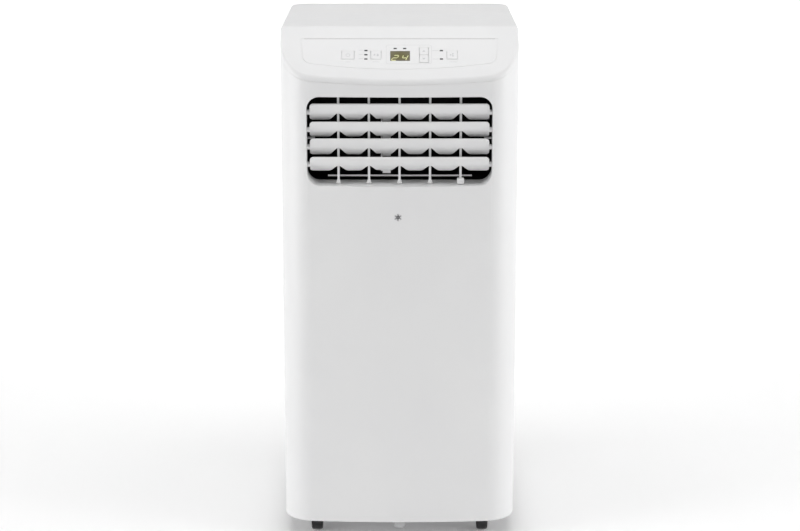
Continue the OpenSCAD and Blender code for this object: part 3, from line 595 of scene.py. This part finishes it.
def make_mark():
    """A small plain snowflake on the front panel."""
    centre_x, centre_z = -2 * MM, 450.5 * MM
    half_arm = [(0.62, -0.36), (2.6, -0.36), (4.1, -1.66), (4.55, -1.1), (3.5, -0.28), (5.4, -0.28)]
    arm = half_arm + [(r, -s) for r, s in half_arm[::-1]]
    panel = frame["nodes"]["front_panel"].data
    front = min(v.co.y for v in panel.vertices if abs(v.co.x) < 0.03)

    def place(u, v, w):
        return Vector((centre_x + u * MM, front - w * MM, centre_z + v * MM))

    def build(shape):
        outline = []
        for i in range(6):
            a = math.radians(60 * i + 90)
            along, side = Vector((math.cos(a), math.sin(a))), Vector((-math.sin(a), math.cos(a)))
            outline += [tuple(along * r + side * s) for r, s in arm]
        add_patch(shape, outline, place, -0.02, 0.04)

    make_piece("front_mark", build, "root", "white_plastic", "mark_ink_and_painted_shade")


make_digits()
make_panel_print()
KEY_ICONS = {
    "key_power": draw_power,
    "key_mode": draw_mode,
    "key_temp_up": draw_up,
    "key_temp_down": draw_down,
    "key_fan": draw_fan,
}
for key, draw in KEY_ICONS.items():
    make_key_icon(key, draw)
make_mark()


# ---------------------------------------------------------------- coils and filter net

BEND_TURNS = [math.pi * k / 8 for k in range(1, 8)]


def make_coil(node, rows):
    """A pack of thin fins on rows of tubes, with a bend at each end of each row."""
    low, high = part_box(node)
    end, fin_pitch, fin = 10 * MM, 2.4 * MM, 0.3 * MM
    tube_radius, bend_inset = 2.8 * MM, 3 * MM
    left, right = low.x + end, high.x - end
    pitch = (high.z - low.z) / rows
    half = pitch / 4
    middle_y = (low.y + high.y) / 2

    def bend(x, reach, z):
        """Half a turn from z + half down to z - half, out to x + reach."""
        return [Vector((x + reach * math.sin(a), middle_y, z + half * math.cos(a))) for a in BEND_TURNS]

    def fins(shape):
        count = int((right - left) / fin_pitch)
        step = (right - left - fin) / count
        for i in range(count + 1):
            x = left + i * step
            add_box(shape, (x, low.y, low.z), (x + fin, high.y, high.z))

    def tubes(shape):
        for row in range(rows):
            z = low.z + pitch * (row + 0.5)
            path = [Vector((right, middle_y, z + half)), Vector((left, middle_y, z + half))]
            path += bend(left, low.x + bend_inset - left, z)
            path += [Vector((left, middle_y, z - half)), Vector((right, middle_y, z - half))]
            add_tube(shape, path, tube_radius)
        for row in range(rows - 1):
            z = low.z + pitch * (row + 1)
            path = [Vector((right - MM, middle_y, z + half))]
            path += bend(right, high.x - right - bend_inset, z)
            path += [Vector((right - MM, middle_y, z - half))]
            add_tube(shape, path, tube_radius)

    pack = make_piece(node + "_fins", fins, "root", "coil_metal")
    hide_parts(node)
    make_piece(node + "_tubes", tubes, "root", "copper")


def make_filter_net():
    """Crossed threads over the filter's sheet."""
    low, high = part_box("air_filter")
    margin, pitch, thread = 3.6 * MM, 2.5 * MM, 0.35 * MM
    y = high.y - 1.5 * MM

    def build(shape):
        across = int((high.x - low.x - 2 * margin) / pitch)
        upward = int((high.z - low.z - 2 * margin) / pitch)
        for i in range(across + 1):
            x = low.x + margin + i * pitch
            add_box(shape, (x, y, low.z + margin), (x + thread, y + thread, high.z - margin))
        for i in range(upward + 1):
            z = low.z + margin + i * pitch
            add_box(shape, (low.x + margin, y + thread, z), (high.x - margin, y + 2 * thread, z + thread))

    make_piece("filter_net", build, "filter_cover", "filter_mesh")


make_coil("evaporator", 10)
make_coil("condenser", 7)
make_filter_net()


# ---------------------------------------------------------------- stage and light

def make_floor():
    """A plain pale floor that curves up into a round backdrop on all sides."""
    mesh = bpy.data.meshes.new("floor")
    shape = bmesh.new()
    radius, rise, wall_top, sides, curve_steps = 5.0, 1.5, 6.0, 64, 16
    curve = [math.pi / 2 * k / curve_steps for k in range(curve_steps + 1)]
    profile = [(radius + rise * math.sin(a), rise * (1 - math.cos(a))) for a in curve]
    profile.append((radius + rise, wall_top))
    turns = [2 * math.pi * i / sides for i in range(sides)]
    rings = [[shape.verts.new((r * math.sin(t), r * math.cos(t), z)) for t in turns] for r, z in profile]
    shape.faces.new(rings[0][::-1])
    for first, second in zip(rings, rings[1:]):
        for i in range(sides):
            k = (i + 1) % sides
            shape.faces.new([first[i], first[k], second[k], second[i]])
    shape.to_mesh(mesh)
    shape.free()
    mesh.shade_smooth()
    floor = bpy.data.objects.new("floor", mesh)
    bpy.context.scene.collection.objects.link(floor)
    paper = plastic("floor_paper", (0.93, 0.93, 0.93), (0.92, 0.92, 0.92), 0.85, 200, 0.00002, 0.1)
    tree = paper.node_tree
    shader = tree.nodes["Principled BSDF"]
    position = tree.nodes.new("ShaderNodeSeparateXYZ")
    tree.links.new(tree.nodes["Texture Coordinate"].outputs["Object"], position.inputs["Vector"])
    # The floor glows more behind the unit than in front, which keeps it white without lighting the front.
    # Up the walls the glow falls to a quarter, so that the white deck stands out against them.
    near_glow, far_glow, far_y = 0.14, 0.38, 1.4
    wall_share, wall_from, wall_to = 0.25, 0.1, 0.8
    glow = tree.nodes.new("ShaderNodeMath")
    glow.operation = "MULTIPLY"
    tree.links.new(spread(tree, position.outputs["Y"], near_glow, far_glow, 0.0, far_y), glow.inputs[0])
    tree.links.new(spread(tree, position.outputs["Z"], 1.0, wall_share, wall_from, wall_to), glow.inputs[1])
    tree.links.new(glow.outputs["Value"], shader.inputs["Emission Color"])
    shader.inputs["Emission Strength"].default_value = 1.0
    mesh.materials.append(paper)


def make_light(name, place, target, size, watts):
    """A rectangular soft box aimed at a point."""
    data = bpy.data.lights.new(name, "AREA")
    data.shape = "RECTANGLE"
    data.size, data.size_y = size
    data.energy = watts
    light = bpy.data.objects.new(name, data)
    light.location = place
    light.rotation_euler = (Vector(target) - Vector(place)).to_track_quat("-Z", "Y").to_euler()
    bpy.context.scene.collection.objects.link(light)


def make_world(strength):
    world = bpy.data.worlds.new("studio")
    world.use_nodes = True
    world.node_tree.nodes["Background"].inputs["Color"].default_value = (1, 1, 1, 1)
    world.node_tree.nodes["Background"].inputs["Strength"].default_value = strength
    bpy.context.scene.world = world


make_floor()
make_world(0.04)
AIM = (0, 0, 0.35)
SIDE_SIZE = (1.6, 2.2)
make_light("softbox_left", (-2.85, -1.0, 1.0), AIM, SIDE_SIZE, 45)
make_light("softbox_right", (2.9, -0.8, 1.0), AIM, SIDE_SIZE, 46)
make_light("softbox_top", (0, -0.2, 3.0), AIM, (2.6, 2.0), 44)
make_light("backdrop_wash", (0, 3.2, 2.6), (0, 5.8, 0), (7.0, 1.0), 50)

bpy.context.scene.view_settings.view_transform = "Standard"
